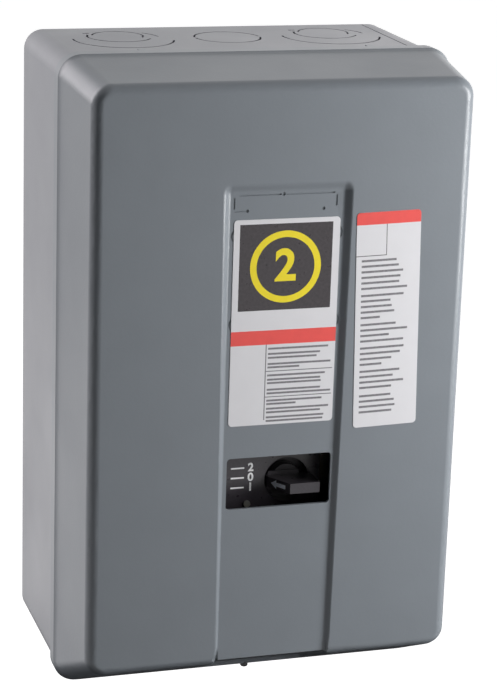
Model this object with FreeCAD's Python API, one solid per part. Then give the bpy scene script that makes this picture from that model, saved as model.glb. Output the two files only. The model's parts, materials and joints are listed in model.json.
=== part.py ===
import FreeCAD, Part
import math
import os

# Enclosed magnetic motor starter, in millimetres.  The wall is the plane y = 0, the front looks along -Y and
# +Z is up.  The origin is the middle of the case's back face.

# case
base_width = 169.0
base_height = 276.4
base_depth = 76.0
base_corner = 8.4
base_sheet = 1.5
seam_half = 73.0          # the curled side panels end here on the top and bottom
seam_gap = 0.7            # open seam on the right; the left one is welded shut
end_flange_share = 0.326  # of the height between the device plate's spacers and the end plates

# cover
cover_sheet = 1.3
cover_fit = 0.5           # between the cover's lip and the case
cover_depth = 44.5
lip_cover = 5.4           # how far the lip reaches back over the case
lip_reach = 1.3           # how far the lip runs on in front of the case's edge
step_length = 2.2
step_inset = 1.0
rim_corner = 10.2
front_width = 162.5
front_top_drop = 5.7      # rim top down to the front face's top
front_bottom_rise = 21.2  # rim bottom up to the front face's bottom
front_corner = 8.5
front_radius = 5.0

# channel pressed into the cover
channel_x = 0.6
channel_half = 26.2
channel_depth = 1.8
channel_run = 1.6
channel_top_drop = 42.4   # front face's top down to the channel's top
channel_top_run = 3.7
channel_end_run = 2.2
channel_under_stop = 6.0  # plain slope left between the channel's end and the step

# selector window and the blanked knockout above the label
window_x = 1.7
window_drop = 14.4        # centre label's bottom down to the window's top
window_width = 46.3
window_height = 22.9
window_corner = 1.6
blank_x = 0.6
blank_drop = 0.4          # under the channel's top ramp
blank_height = 6.6
blank_width = 44.2
blank_tie = 1.0           # metal left uncut at the corners
blank_foot = 5.6          # cut length along the lower edge
punch_radius = 0.7
score_width = 0.6
score_depth = 0.5
tick_radius = 3.4
tick_show = 1.2           # part of each tick that shows beside the label
tick_drops = (6.7, 44.5)  # below the label's top

# labels
label_sheet = 0.2
label_corner = 1.6
centre_label_x = 1.6
centre_label_drop = 10.7  # under the channel's top ramp
centre_label_width = 46.0
centre_label_height = 89.0
side_label_x = 46.6
side_label_drop = 55.0    # under the front face's top
side_label_width = 28.4
side_label_height = 94.0
side_label_tilt = 1.5     # degrees off upright

# hooks that carry the cover
hook_x = 50.5
hook_shift = 1.8
hook_width = 3.0
hook_sheet = 1.3
hook_reach = 3.3          # behind the lip
hook_drop = 3.7           # under the lip's inner face
hook_root = 0.5           # lap of each hook into the lip
hook_side_fit = 0.4
slot_front = 3.5          # slot in front of the hinge line
slot_rear = 5.2

# knockouts in the end plates
knockout_x = 47.3
knockout_wall = 9.8       # wall to the nearest point of every side ring, whatever its size
knockout_cut = 0.9
pry_offset = 12.7
pry_wall = 14.0
pry_length = 2.9
pry_width = 1.3
side_rings = (            # radius, first and last angle of each cut, from +X towards the wall
    (11.1, -32.0, 168.0),
    (14.0, -204.0, -28.0),
    (17.3, 6.0, 45.0),
    (21.8, -188.0, -12.0),
)
centre_rings = (
    (14.6, -176.0, -4.0),
    (14.6, 4.0, 176.0),
)
centre_ring_wall = 15.4

# wall holes
wall_hole_radius = 3.5
wall_hole_inset = 20.2
wall_hole_spacing = 100.0

# captive cover screw and its latch bracket
screw_y = 8.0             # in front of the case's edge
screw_radius = 1.7
screw_fit = 0.05
screw_show = 3.2          # tip below the pressed channel
screw_slot_width = 0.7
screw_slot_depth = 0.9
screw_tip_round = 0.7
screw_boss_radius = 4.5
screw_boss_height = 5.0
collar_radius = 3.4
collar_height = 2.0
bracket_sheet = 1.5
bracket_half = 11.0
notch_fit = 0.6           # round the screw in the bracket's notch
bracket_clear = 3.0       # boss top to the bracket's tongue
bracket_lap = 5.5         # tongue past the screw
bracket_setback = 16.0     # case edge back to the bracket's riser
bracket_foot = 14.0

# shared clearances
loose_gap = 0.3
over = 1.0                # a cut runs this far past what it cuts
tolerance = 0.01

# device plate
plate_sheet = 2.0
plate_half_width = 72.0
plate_half_height = 106.0
plate_standoff = 6.5
plate_corner = 4.0
plate_screw_x = 65.0
plate_screw_z = 98.0
spacer_radius = 5.0
plate_screw_radius = 2.0
plate_head_radius = 4.0
plate_head_height = 2.4
thread_fit = 0.1
hole_fit = 0.3

# contactor
contactor_side = 4.0      # housing beyond the outer poles' halves
contactor_bottom = -16.0
contactor_height = 112.0
contactor_depth = 50.0
contactor_floor = 4.0
contactor_wall = 4.0
shoulder = 28.0
arc_cover_depth = 27.0
arc_cover_wall = 2.2
arc_rib = 2.4
arc_slot_half = 11.0
arc_edge = 4.0
arc_screw_radius = 1.9
arc_screw_height = 1.6
pole_pitch = 28.0
travel = 6.0
stop_gap = 0.3            # air left where the magnet and the contacts meet
ear_width = 9.0
ear_height = 12.0
ear_depth = 4.0
ear_screw_radius = 2.0
ear_head_radius = 3.6
ear_head_height = 2.2
terminal_hole_depth = 9.0
barrier_groove = 2.4
arm_slot_fit = 1.0

# magnet and coil
magnet_half_width = 16.0
magnet_half_height = 24.0
yoke_depth = 7.0
leg_length = 13.0
centre_leg = 7.0
outer_leg = 7.0
magnet_seat = 2.0
bobbin_flange = 1.2
bobbin_wall = 1.2
bobbin_fit = 0.4
winding_build = 5.6
winding_corner = 3.0
flange_lip = 0.6          # bobbin's flange past the winding
bobbin_drop = 1.0         # bobbin behind the magnet's poles
armature_depth = 6.0
shading_width = 2.2
shading_depth = 2.0
shading_drop = 0.4

# moving carrier and contacts
carrier_plate = 5.0
carrier_side = 9.0        # carrier plate past the outer poles
carrier_half_height = 11.0
post_half_width = 5.0
post_half_height = 7.0
post_lead = 8.0
post_cap = 1.6
bridge_width = 7.0
bridge_sheet = 1.6
bridge_half_length = 19.0
tip_radius = 3.0
tip_height = 1.2
tip_z = 15.5
spring_wire = 0.5
contact_spring_radius = 2.4
contact_spring_turns = 4.0
return_spring_out = 1.0   # springs outside the outer poles
return_spring_radius = 3.4
return_spring_turns = 7.0
return_spring_bore = 4.6
return_spring_lap = 1.0
return_bore_clear = 1.0
strip_width = 9.0
strip_sheet = 2.0
strip_inset = 2.0
link_half = 3.5

# terminal hardware
terminal_screw_radius = 1.9
terminal_head_radius = 3.6
terminal_head_height = 2.2
terminal_washer_radius = 4.3
terminal_washer = 0.8
terminal_inset = 10.0
driver_slot = 0.8

# overload relay
relay_side = 19.0         # relay past the outer heaters
relay_height = 62.0
relay_gap = 6.0
relay_depth = 50.0
heater_half_width = 6.5
heater_height = 30.0
heater_block_half = 11.0
heater_depth = 6.0
heater_drop = 1.0
heater_air = 1.5
heater_pocket = 14.0
heater_tab = 9.0
heater_tab_lap = 2.0
heater_tab_half = 4.0
heater_tab_sheet = 1.4
lug_half = 5.5
lug_height = 9.0
lug_setback = 12.0
lug_bore = 2.8
lug_floor = 1.8
reset_out = 10.6          # reset beside the outer heater
reset_rise = 8.6
reset_radius = 3.5
reset_fit = 0.05
reset_travel = 3.0
reset_show = 6.0
reset_cap_radius = 5.2
reset_cap = 3.0
reset_spring_radius = 4.2
reset_spring_turns = 3.5
reset_stem = 14.0
reset_bore_clear = 1.0
reset_well = 5.0
reset_well_radius = 5.6
trip_bar_radius = 1.6
trip_bar_inset = 8.0
trip_lever = 7.0
trip_lever_inset = 5.5
trip_ear = 2.0
trip_ear_inset = 1.0
trip_ear_half = 3.5

# auxiliary contact on the contactor's side
aux_width = 13.0
aux_height = 44.0
aux_depth = 30.0
aux_wall = 2.0
aux_chamber_front = 8.0
aux_bridge_lead = 2.0
aux_bridge_half = 9.0
aux_wire_rise = 12.0
aux_pocket = 6.0
aux_screw_radius = 2.8
aux_plunger_radius = 2.0
aux_arm = 2.6
arm_half_height = 3.0

# earth terminal
earth_x = -49.0
earth_z = -95.0
earth_screw_show = 4.0
earth_screw_in = 1.6
earth_slot_depth = 1.0
earth_width = 11.0
earth_length = 16.0
earth_depth = 10.0
earth_bore = 3.2
earth_screw_radius = 2.5

# selector operator behind the window
selector_recess = 15.0    # channel face back to the moulding's face
selector_left = -26.0
selector_right = 25.3
selector_under = 8.15     # housing below the window
selector_above = 6.95     # housing above the window
selector_body = 11.0
selector_corner = 1.5
knob_x = 10.2
knob_drop = 4.9           # below the window's middle
well_radius = 10.0
well_depth = 6.0
hub_radius = 6.5
hub_recess = 1.0
hub_height = 4.4
lever_recess = 2.2        # channel face back to the lever's front
lever_thick = 4.6
lever_right = 11.0
lever_step = -2.3
lever_tip = -9.4
lever_tip_height = 2.0
lever_lift = 0.6          # lever's overhang in front of the moulding
lever_root = 8.0          # the lever's rear steps forward past this
skirt_half = 4.0
skirt_right = 5.5
skirt_thick = 0.9
skirt_inset = 1.0
shaft_radius = 3.0
shaft_fit = 0.05
crank_radius = 7.0
crank_thick = 2.0
crank_gap = 0.6
pin_offset = 5.0
pin_radius = 1.3
pin_length = 4.0
pin_fit = 0.3
arrow_sheet = 0.15
arrow_length = 8.2
arrow_head = 3.0
arrow_head_half = 1.9
arrow_tail_half = 0.85
legend_sheet = 0.8
legend_right = -1.5
legend_under = 10.4       # below the window's middle
legend_above = 14.9
legend_corner = 1.0
screw_spot_x = -7.4
screw_spot_drop = 15.0    # below the window's middle
small_screw_radius = 1.0
small_head_radius = 1.5
small_head_height = 0.7
small_shank = 3.0
small_hole_depth = 4.0
corner_screw_inset = 4.0
high_screw_inset = 1.9

# selector bracket and contact block
stand_sheet = 1.5
stand_side = 10.0         # clear of the contactor's housing on both sides
stand_half_height = 17.0
stand_foot = 13.0
stand_hole_out = 7.8      # screw beside the leg's inner face
stand_hole_inset = 9.0
crank_hole_fit = 1.0
block_half_width = 20.0
block_half_height = 11.0
block_depth = 14.0
block_wall = 2.0
carriage_half_width = 12.0
carriage_thick = 4.0
carriage_play = 0.3

# wires
wire_radius = 1.1
bend_share = 0.45         # of the shorter run, at a right angle
bend_limit = 6.0
wire_lane = 5.0           # beside what the wires run past
wire_step = 3.6           # from one wire to the next
wire_drop = 8.0
wire_setback = 12.0
wire_tail = 15.0          # last run up to a terminal
wire_reach = 24.0         # first run out of the selector's block

# places worked out from the sizes
rim_out = cover_sheet + cover_fit
rim_half = base_width / 2 + rim_out
rim_top = base_height / 2 + rim_out
half_width = base_width / 2
half_height = base_height / 2
edge_y = -base_depth
face_y = edge_y - cover_depth
floor_y = face_y + channel_depth
back_y = -base_sheet
front_top = rim_top - front_top_drop
end_flange = end_flange_share * (half_height - base_sheet - plate_screw_z - spacer_radius)
front_bottom = -rim_top + front_bottom_rise
channel_top = front_top - channel_top_drop
floor_top = channel_top - channel_top_run
centre_label_top = floor_top - centre_label_drop
window_z = centre_label_top - centre_label_height - window_drop - window_height / 2
step_y = edge_y - lip_reach
body_y = step_y - step_length
body_bottom = -rim_top + step_inset
slope = math.degrees(math.atan2(front_bottom - body_bottom, body_y - face_y))
hinge_y = edge_y + lip_cover + hook_reach - hook_sheet / 2
bracket_notch = screw_radius + notch_fit
plate_y = back_y - plate_standoff
device_y = plate_y - plate_sheet
magnet_z = contactor_bottom + contactor_height / 2
contactor_y = device_y - contactor_depth
contactor_half = 1.5 * pole_pitch + contactor_side
core_y = device_y - contactor_floor - magnet_seat
pole_y = core_y - yoke_depth - leg_length
armature_y = pole_y - travel - stop_gap
carrier_y = armature_y - armature_depth
carrier_half_width = pole_pitch + carrier_side
return_spring_x = pole_pitch + return_spring_out
strip_y = contactor_y - strip_sheet
tip_y = strip_y - tip_height
bridge_y = tip_y - travel - stop_gap - tip_height
arc_y = strip_y - loose_gap
relay_top = contactor_bottom - relay_gap
relay_bottom = relay_top - relay_height
relay_half = pole_pitch + relay_side
relay_y = device_y - relay_depth
reset_x = pole_pitch + reset_out
reset_z = relay_bottom + reset_rise
aux_x = contactor_half + aux_width / 2
trip_z = (relay_bottom + relay_top) / 2
trip_y = relay_y - trip_bar_radius - loose_gap
trip_bar_half = relay_half - trip_bar_inset
moulding_y = floor_y + selector_recess
stand_y = moulding_y + selector_body
well_y = moulding_y + well_depth
hub_y = moulding_y + hub_recess
crank_y = stand_y + stand_sheet + crank_gap
block_y = stand_y + stand_sheet
knob_z = window_z - knob_drop
selector_bottom = window_z - window_height / 2 - selector_under
selector_top = window_z + window_height / 2 + selector_above
stand_bottom = window_z - stand_half_height
stand_top = window_z + stand_half_height
stand_leg_x = contactor_half + stand_side


def vec(x, y, z):
    return FreeCAD.Vector(x, y, z)


def box(x0, x1, y0, y1, z0, z1):
    low = vec(min(x0, x1), min(y0, y1), min(z0, z1))
    return Part.makeBox(abs(x1 - x0), abs(y1 - y0), abs(z1 - z0), low)


def rod_y(x, z, radius, y0, y1):
    return Part.makeCylinder(radius, abs(y1 - y0), vec(x, min(y0, y1), z), vec(0, 1, 0))


def rod_z(x, y, radius, z0, z1):
    return Part.makeCylinder(radius, abs(z1 - z0), vec(x, y, min(z0, z1)), vec(0, 0, 1))


def rod_x(y, z, radius, x0, x1):
    return Part.makeCylinder(radius, abs(x1 - x0), vec(min(x0, x1), y, z), vec(1, 0, 0))


def joined(shapes):
    shapes = list(shapes)
    if len(shapes) == 1:
        return shapes[0]
    return shapes[0].fuse(shapes[1:]).removeSplitter()


def without(shape, tools):
    return shape.cut(list(tools))


def rectangle(y, x0, x1, z0, z1):
    corners = [(x0, z0), (x1, z0), (x1, z1), (x0, z1), (x0, z0)]
    return Part.makePolygon([vec(x, y, z) for x, z in corners])


def ring(y, x0, x1, z0, z1, radius):
    """Closed wire of a rectangle with round corners, in the plane at y."""
    diagonal = radius * (1 - math.sqrt(0.5))
    starts = [
        ((x0 + radius, z0), (x1 - radius, z0), (x1 - diagonal, z0 + diagonal), (x1, z0 + radius)),
        ((x1, z0 + radius), (x1, z1 - radius), (x1 - diagonal, z1 - diagonal), (x1 - radius, z1)),
        ((x1 - radius, z1), (x0 + radius, z1), (x0 + diagonal, z1 - diagonal), (x0, z1 - radius)),
        ((x0, z1 - radius), (x0, z0 + radius), (x0 + diagonal, z0 + diagonal), (x0 + radius, z0)),
    ]
    edges = []
    for points in starts:
        a, b, c, d = [vec(x, y, z) for x, z in points]
        edges.append(Part.LineSegment(a, b).toShape())
        edges.append(Part.Arc(b, c, d).toShape())
    return Part.Wire(edges)


def rounded_slab(x0, x1, z0, z1, radius, y0, y1):
    return Part.Face(ring(y0, x0, x1, z0, z1, radius)).extrude(vec(0, y1 - y0, 0))


def loft(wires):
    return Part.makeLoft(wires, True, True)


def spring_y(x, z, radius, y0, y1, turns):
    """Open coil along Y from y0 forwards to y1, wire centre line on the given radius."""
    length = abs(y1 - y0) - 2 * spring_wire
    helix = Part.makeHelix(length / turns, length, radius)
    profile = Part.Wire(Part.makeCircle(spring_wire, vec(radius, 0, 0), vec(0, 1, 0)))
    coil = Part.Wire(helix.Edges).makePipeShell([profile], True, True)
    coil.rotate(vec(0, 0, 0), vec(1, 0, 0), 90)
    coil.translate(vec(x, max(y0, y1) - spring_wire, z))
    return coil


def pan_screw(x, z, seat_y, tip_end_y, shank, head, height):
    """Slotted screw driven along +Y, with its head in front of seat_y."""
    body = joined([rod_y(x, z, shank, seat_y, tip_end_y), rod_y(x, z, head, seat_y - height, seat_y)])
    top = seat_y - height
    slot = box(x - driver_slot / 2, x + driver_slot / 2, top, top + height / 2, z - head, z + head)
    return body.cut(slot)


# case


def case_outline(inset, y0, y1):
    return rounded_slab(
        -half_width + inset, half_width - inset, -half_height + inset, half_height - inset,
        base_corner - inset, y0, y1,
    )


def wall_holes():
    reach = half_height - wall_hole_inset
    return [rod_y(sx * wall_hole_spacing / 2, sz * reach, wall_hole_radius, back_y - over, over)
            for sx in (-1, 1) for sz in (-1, 1)]


def back_box():
    walls = case_outline(0, edge_y, 0).cut(case_outline(base_sheet, edge_y - over, back_y))
    gaps = []
    for side in (-1, 1):
        outer = side * (half_height + over)
        inner = side * (half_height - base_sheet - over)
        gaps.append(box(-seam_half, seam_half, edge_y - over, back_y, inner, outer))
    return without(walls, gaps + wall_holes())


def ring_cut(x, wall_gap, ring_sizes, z0, z1):
    """Narrow slot along part of a circle, right through an end plate."""
    radius, first, last = ring_sizes
    y = -wall_gap - radius
    outer = radius + knockout_cut / 2
    sector = Part.makeCylinder(outer, z1 - z0, vec(x, y, z0), vec(0, 0, 1), last - first)
    sector.rotate(vec(x, y, z0), vec(0, 0, 1), first)
    return sector.cut(rod_z(x, y, radius - knockout_cut / 2, z0 - over, z1 + over))


def knockout_cuts(z0, z1):
    cuts = [ring_cut(0, centre_ring_wall, sizes, z0, z1) for sizes in centre_rings]
    for x in (-knockout_x, knockout_x):
        cuts += [ring_cut(x, knockout_wall, sizes, z0, z1) for sizes in side_rings]
        cuts.append(box(x - pry_offset - pry_length / 2, x - pry_offset + pry_length / 2,
                        -pry_wall - pry_width / 2, -pry_wall + pry_width / 2, z0, z1))
    return cuts


def end_plate(side):
    """Top (side 1) or bottom (side -1) plate, with its weld flange folded along the back."""
    outer = side * half_height
    inner = side * (half_height - base_sheet)
    right = seam_half - seam_gap
    sheet = box(-seam_half, right, edge_y, back_y, inner, outer)
    flange = box(-seam_half, right, back_y - base_sheet, back_y, inner - side * end_flange, inner)
    low, high = sorted((inner - side * over, outer + side * over))
    return without(joined([sheet, flange]), knockout_cuts(low, high))


def top_end_plate():
    slots = []
    for side in (-1, 1):
        x = hook_shift + side * hook_x
        reach = hook_width / 2 + hook_side_fit
        slots.append(box(x - reach, x + reach, hinge_y - slot_front, hinge_y + slot_rear,
                         half_height - base_sheet - over, half_height + over))
    return without(end_plate(1), slots)


def bottom_end_plate():
    return end_plate(-1)


# cover


def cover_sections(inset, rear_extra):
    """Outline wires of the cover from its rear rim to its front face, drawn in by inset."""
    lip_rear = edge_y + lip_cover + rear_extra
    body_half = rim_half - step_inset
    return [
        ring(lip_rear, -rim_half + inset, rim_half - inset, -rim_top + inset, rim_top - inset,
             rim_corner - inset),
        ring(step_y + inset, -rim_half + inset, rim_half - inset, -rim_top + inset, rim_top - inset,
             rim_corner - inset),
        ring(body_y + inset, -body_half + inset, body_half - inset, body_bottom + inset,
             rim_top - step_inset - inset, rim_corner - step_inset / 2 - inset),
        ring(face_y + inset, -front_width / 2 + inset, front_width / 2 - inset,
             front_bottom + inset, front_top - inset, front_corner - inset),
    ]


def cover_outline(inset, rear_extra=0.0):
    solid = loft(cover_sections(inset, rear_extra))
    front = face_y + inset
    edges = [edge for edge in solid.Edges
             if abs(edge.BoundBox.YMin - front) < tolerance and abs(edge.BoundBox.YMax - front) < tolerance]
    return solid.makeFillet(front_radius - inset, edges)


def channel_press(grow):
    """Solid that presses the channel into the front and along the underside, enlarged by grow."""
    spread = channel_run * (channel_depth + over) / channel_depth
    floor_half = channel_half - channel_run + grow
    mouth_half = floor_half + spread
    mouth_y = face_y + grow - over
    left, right = channel_x - mouth_half, channel_x + mouth_half
    floor_left, floor_right = channel_x - floor_half, channel_x + floor_half
    front = loft([
        rectangle(mouth_y, left, right, -base_height, channel_top + grow),
        rectangle(floor_y + grow, floor_left, floor_right, -base_height, floor_top + grow),
    ])
    run = math.hypot(front_bottom - body_bottom, body_y - face_y)
    stop = front_bottom - run + channel_under_stop - grow
    under = loft([
        rectangle(mouth_y, left, right, stop, front_bottom + over),
        rectangle(floor_y + grow, floor_left, floor_right, stop + channel_end_run, front_bottom + over),
    ])
    under.rotate(vec(0, face_y, front_bottom), vec(1, 0, 0), 90 - slope)
    return joined([front, under])


def cover_cavity():
    return cover_outline(cover_sheet, over).cut(channel_press(cover_sheet))


def screw_place():
    """Height of the pressed channel's outer face under the cover where the screw passes."""
    rise = (body_y - edge_y + screw_y) * math.tan(math.radians(slope))
    return body_bottom + rise + channel_depth / math.cos(math.radians(slope))


def score(x0, x1, z0, z1):
    return box(x0, x1, floor_y - over, floor_y + score_depth, z0, z1)


def blank_scores():
    """Grooves round the blanked opening above the label, with its punch marks."""
    left = blank_x - blank_width / 2
    right = blank_x + blank_width / 2
    top = floor_top - blank_drop
    low = top - blank_height
    half = score_width / 2
    cuts = [score(x - half, x + half, low + blank_tie, top - blank_tie) for x in (left, right)]
    cuts.append(score(left, left + blank_foot, low - half, low + half))
    cuts.append(score(left + 2 * blank_tie, blank_x - 2 * blank_tie, top - half, top + half))
    cuts.append(score(blank_x, right - blank_tie, top - half, top + half))
    for x, z in ((left + blank_foot, low), (right - blank_foot, low), (blank_x - blank_tie, top)):
        cuts.append(rod_y(x, z, punch_radius, floor_y - over, floor_y + score_depth))
    return cuts


def tick_scores():
    """Round part-shears on both sides of the centre label, mostly under it."""
    cuts = []
    reach = centre_label_width / 2 - tick_radius + tick_show
    for drop in tick_drops:
        for side in (-1, 1):
            x = centre_label_x + side * reach
            z = centre_label_top - drop
            tube = rod_y(x, z, tick_radius, floor_y - over, floor_y + score_depth)
            core = rod_y(x, z, tick_radius - score_width, floor_y - 2 * over, floor_y + score_depth + over)
            cuts.append(tube.cut(core))
    return cuts


def hooks():
    rear = edge_y + lip_cover
    inner = rim_top - cover_sheet
    pieces = []
    for side in (-1, 1):
        x0 = hook_shift + side * hook_x - hook_width / 2
        x1 = x0 + hook_width
        arm = box(x0, x1, rear - hook_root, rear + hook_reach, inner, rim_top)
        leg = box(x0, x1, rear + hook_reach - hook_sheet, rear + hook_reach, inner - hook_drop, rim_top)
        pieces += [arm, leg]
    return pieces


def cover_shell():
    shell = cover_outline(0).cut(channel_press(0)).cut(cover_cavity())
    window = rounded_slab(
        window_x - window_width / 2, window_x + window_width / 2,
        window_z - window_height / 2, window_z + window_height / 2,
        window_corner, floor_y - over, floor_y + cover_sheet + over,
    )
    screw_hole = rod_z(0, edge_y - screw_y, screw_radius + screw_fit, -rim_top, 0)
    shell = without(shell, [window, screw_hole] + blank_scores() + tick_scores())
    return joined([shell] + hooks())


def label(x, top, width, height, y):
    return rounded_slab(x - width / 2, x + width / 2, top - height, top, label_corner, y - label_sheet, y)


def centre_label():
    return label(centre_label_x, centre_label_top, centre_label_width, centre_label_height, floor_y)


def side_label():
    top = front_top - side_label_drop
    sheet = label(side_label_x, top, side_label_width, side_label_height, face_y)
    sheet.rotate(vec(side_label_x, face_y, top - side_label_height / 2), vec(0, -1, 0), side_label_tilt)
    return sheet


# cover latch

boss_top = screw_place() + cover_sheet + screw_boss_height
tongue_z = boss_top + bracket_clear
collar_z = tongue_z + bracket_sheet + loose_gap


def cover_nut():
    y = edge_y - screw_y
    post = rod_z(0, y, screw_boss_radius, -rim_top, boss_top).common(cover_cavity())
    return post.cut(rod_z(0, y, screw_radius + screw_fit, -rim_top, boss_top + over))


def cover_screw():
    y = edge_y - screw_y
    tip = screw_place() - screw_show
    shank = rod_z(0, y, screw_radius, tip, collar_z + collar_height)
    rounded = [edge for edge in shank.Edges if edge.BoundBox.ZMax < tip + tolerance]
    shank = shank.makeFillet(screw_tip_round, rounded)
    collar = rod_z(0, y, collar_radius, collar_z, collar_z + collar_height)
    slot = box(-screw_radius, screw_radius, y - screw_slot_width / 2, y + screw_slot_width / 2,
               tip - over, tip + screw_slot_depth)
    return joined([shank, collar]).cut(slot)


def latch_bracket():
    y = edge_y - screw_y
    floor = -half_height + base_sheet
    riser_y = edge_y + bracket_setback
    foot = box(-bracket_half, bracket_half, riser_y, riser_y + bracket_foot, floor, floor + bracket_sheet)
    top = tongue_z + bracket_sheet
    riser = box(-bracket_half, bracket_half, riser_y - bracket_sheet, riser_y, floor, top)
    tongue = box(-bracket_half, bracket_half, y - bracket_lap, riser_y, tongue_z, top)
    notch = joined([
        rod_z(0, y, bracket_notch, tongue_z - over, tongue_z + bracket_sheet + over),
        box(-bracket_notch, bracket_notch, y - bracket_lap - over, y,
            tongue_z - over, tongue_z + bracket_sheet + over),
    ])
    return joined([foot, riser, tongue]).cut(notch)


# device plate


def plate_corners():
    return [(sx * plate_screw_x, sz * plate_screw_z) for sx in (-1, 1) for sz in (-1, 1)]


def device_plate():
    sheet = rounded_slab(-plate_half_width, plate_half_width, -plate_half_height, plate_half_height,
                         plate_corner, device_y, plate_y)
    holes = [rod_y(x, z, plate_screw_radius + hole_fit, device_y - over, plate_y + over)
             for x, z in plate_corners()]
    return without(sheet, holes)


def plate_spacers():
    tubes = []
    for x, z in plate_corners():
        bore = rod_y(x, z, plate_screw_radius + thread_fit, plate_y - over, back_y + over)
        tubes.append(rod_y(x, z, spacer_radius, plate_y, back_y).cut(bore))
    return Part.makeCompound(tubes)


def plate_screws():
    screws = [pan_screw(x, z, device_y, back_y - loose_gap, plate_screw_radius, plate_head_radius,
                        plate_head_height) for x, z in plate_corners()]
    return Part.makeCompound(screws)


# contactor


def poles():
    return [-pole_pitch, 0.0, pole_pitch]


def contactor_ear_heights():
    reach = contactor_height / 2 - ear_height / 2 - contactor_wall
    return [magnet_z - reach, magnet_z + reach]


def relay_ear_heights():
    return [relay_bottom + relay_height / 4]


def mounting_ears(half, heights):
    ears = []
    for z in heights:
        for x0, x1 in ((-half - ear_width, -half + over), (half - over, half + ear_width)):
            ears.append(box(x0, x1, device_y - ear_depth, device_y, z - ear_height / 2, z + ear_height / 2))
    return ears


def ear_places(half, heights):
    return [(side * (half + ear_width / 2), z) for side in (-1, 1) for z in heights]


def ear_holes(half, heights):
    return [rod_y(x, z, ear_screw_radius + hole_fit, device_y - ear_depth - over, device_y + over)
            for x, z in ear_places(half, heights)]


def ear_screws(half, heights):
    seat = device_y - ear_depth
    return Part.makeCompound([
        pan_screw(x, z, seat, device_y, ear_screw_radius, ear_head_radius, ear_head_height)
        for x, z in ear_places(half, heights)
    ])


def contactor_screws():
    return ear_screws(contactor_half, contactor_ear_heights())


def relay_screws():
    return ear_screws(relay_half, relay_ear_heights())


def arm_front():
    return carrier_y - carrier_plate


def contactor_base():
    low = contactor_bottom
    high = contactor_bottom + contactor_height
    body = box(-contactor_half, contactor_half, contactor_y, device_y, low, high)
    ears = mounting_ears(contactor_half, contactor_ear_heights())
    pocket = box(-contactor_half + contactor_wall, contactor_half - contactor_wall, contactor_y - over,
                 device_y - contactor_floor, magnet_z - shoulder, magnet_z + shoulder)
    arm_half = arm_half_height + arm_slot_fit
    arm_slot = box(contactor_half - contactor_wall - over, contactor_half + over,
                   arm_front() - arm_slot_fit, arm_front() + aux_arm + travel + arm_slot_fit,
                   magnet_z - arm_half, magnet_z + arm_half)
    cuts = [pocket, arm_slot] + ear_holes(contactor_half, contactor_ear_heights())
    for x in poles():
        for z in (low + terminal_inset, high - terminal_inset):
            cuts.append(rod_y(x, z, terminal_screw_radius + thread_fit, contactor_y - over,
                              contactor_y + terminal_hole_depth))
    return without(joined([body] + ears), cuts + barrier_grooves(low, high))


def barrier_grooves(low, high):
    """Grooves between the poles at both terminal ends."""
    half = barrier_groove / 2
    length = contactor_height / 2 - shoulder - contactor_wall
    grooves = []
    for x in (-pole_pitch / 2, pole_pitch / 2):
        for z0, z1 in ((low - over, low + length), (high - length, high + over)):
            grooves.append(box(x - half, x + half, contactor_y - over, contactor_y + contactor_wall, z0, z1))
    return grooves


def terminal_strip(x, side):
    """Fixed contact and terminal pad of one pole, above (1) or below (-1) the magnet."""
    near = magnet_z + side * (tip_z - strip_width / 2)
    far = magnet_z + side * (contactor_height / 2 - strip_inset)
    strip = box(x - strip_width / 2, x + strip_width / 2, strip_y, contactor_y, near, far)
    tip = rod_y(x, magnet_z + side * tip_z, tip_radius, tip_y, strip_y)
    hole_z = magnet_z + side * (contactor_height / 2 - terminal_inset)
    hole = rod_y(x, hole_z, terminal_screw_radius + hole_fit, strip_y - over, contactor_y + over)
    return joined([strip, tip]).cut(hole)


def line_terminals():
    return Part.makeCompound([terminal_strip(x, 1) for x in poles()])


def load_terminals():
    return Part.makeCompound([terminal_strip(x, -1) for x in poles()])


def terminal_screw(x, z, seat_y):
    """Pan screw with its square-cornered wire clamp washer."""
    washer = box(x - terminal_washer_radius, x + terminal_washer_radius, seat_y - terminal_washer, seat_y,
                 z - terminal_washer_radius, z + terminal_washer_radius)
    screw = pan_screw(x, z, seat_y - terminal_washer, seat_y + terminal_hole_depth, terminal_screw_radius,
                      terminal_head_radius, terminal_head_height)
    return joined([screw, washer])


def line_screws():
    z = magnet_z + contactor_height / 2 - terminal_inset
    return Part.makeCompound([terminal_screw(x, z, strip_y) for x in poles()])


def load_screws():
    z = magnet_z - contactor_height / 2 + terminal_inset
    return Part.makeCompound([terminal_screw(x, z, strip_y) for x in poles()])


def arc_cover():
    """Moulded chamber over the contacts, seated on the housing, open where the strips run out."""
    front = arc_y - arc_cover_depth
    reach = shoulder + contactor_wall
    body = box(-contactor_half, contactor_half, front, contactor_y, magnet_z - reach, magnet_z + reach)
    cuts = []
    half = pole_pitch / 2 - arc_rib / 2
    inner = shoulder - arc_cover_wall
    lane = strip_width / 2 + loose_gap
    for x in poles():
        cuts.append(box(x - half, x + half, front + arc_cover_wall, contactor_y + over,
                        magnet_z - inner, magnet_z + inner))
        cuts.append(box(x - lane, x + lane, arc_y, contactor_y + over,
                        magnet_z - reach - over, magnet_z + reach + over))
        cuts.append(box(x - post_half_width, x + post_half_width, front - over, front + arc_cover_wall + over,
                        magnet_z - arc_slot_half, magnet_z + arc_slot_half))
    edges = box(-contactor_half - over, contactor_half + over, front - over, front + arc_edge,
                magnet_z + reach - arc_edge, magnet_z + reach + over)
    cuts += [edges, edges.mirror(vec(0, 0, magnet_z), vec(0, 0, 1))]
    return without(body, cuts)


def arc_cover_screws():
    front = arc_y - arc_cover_depth
    x = contactor_half - (contactor_side + arc_rib / 2) / 2
    return Part.makeCompound([
        rod_y(side * x, magnet_z, arc_screw_radius, front - arc_screw_height, front) for side in (-1, 1)
    ])


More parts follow.
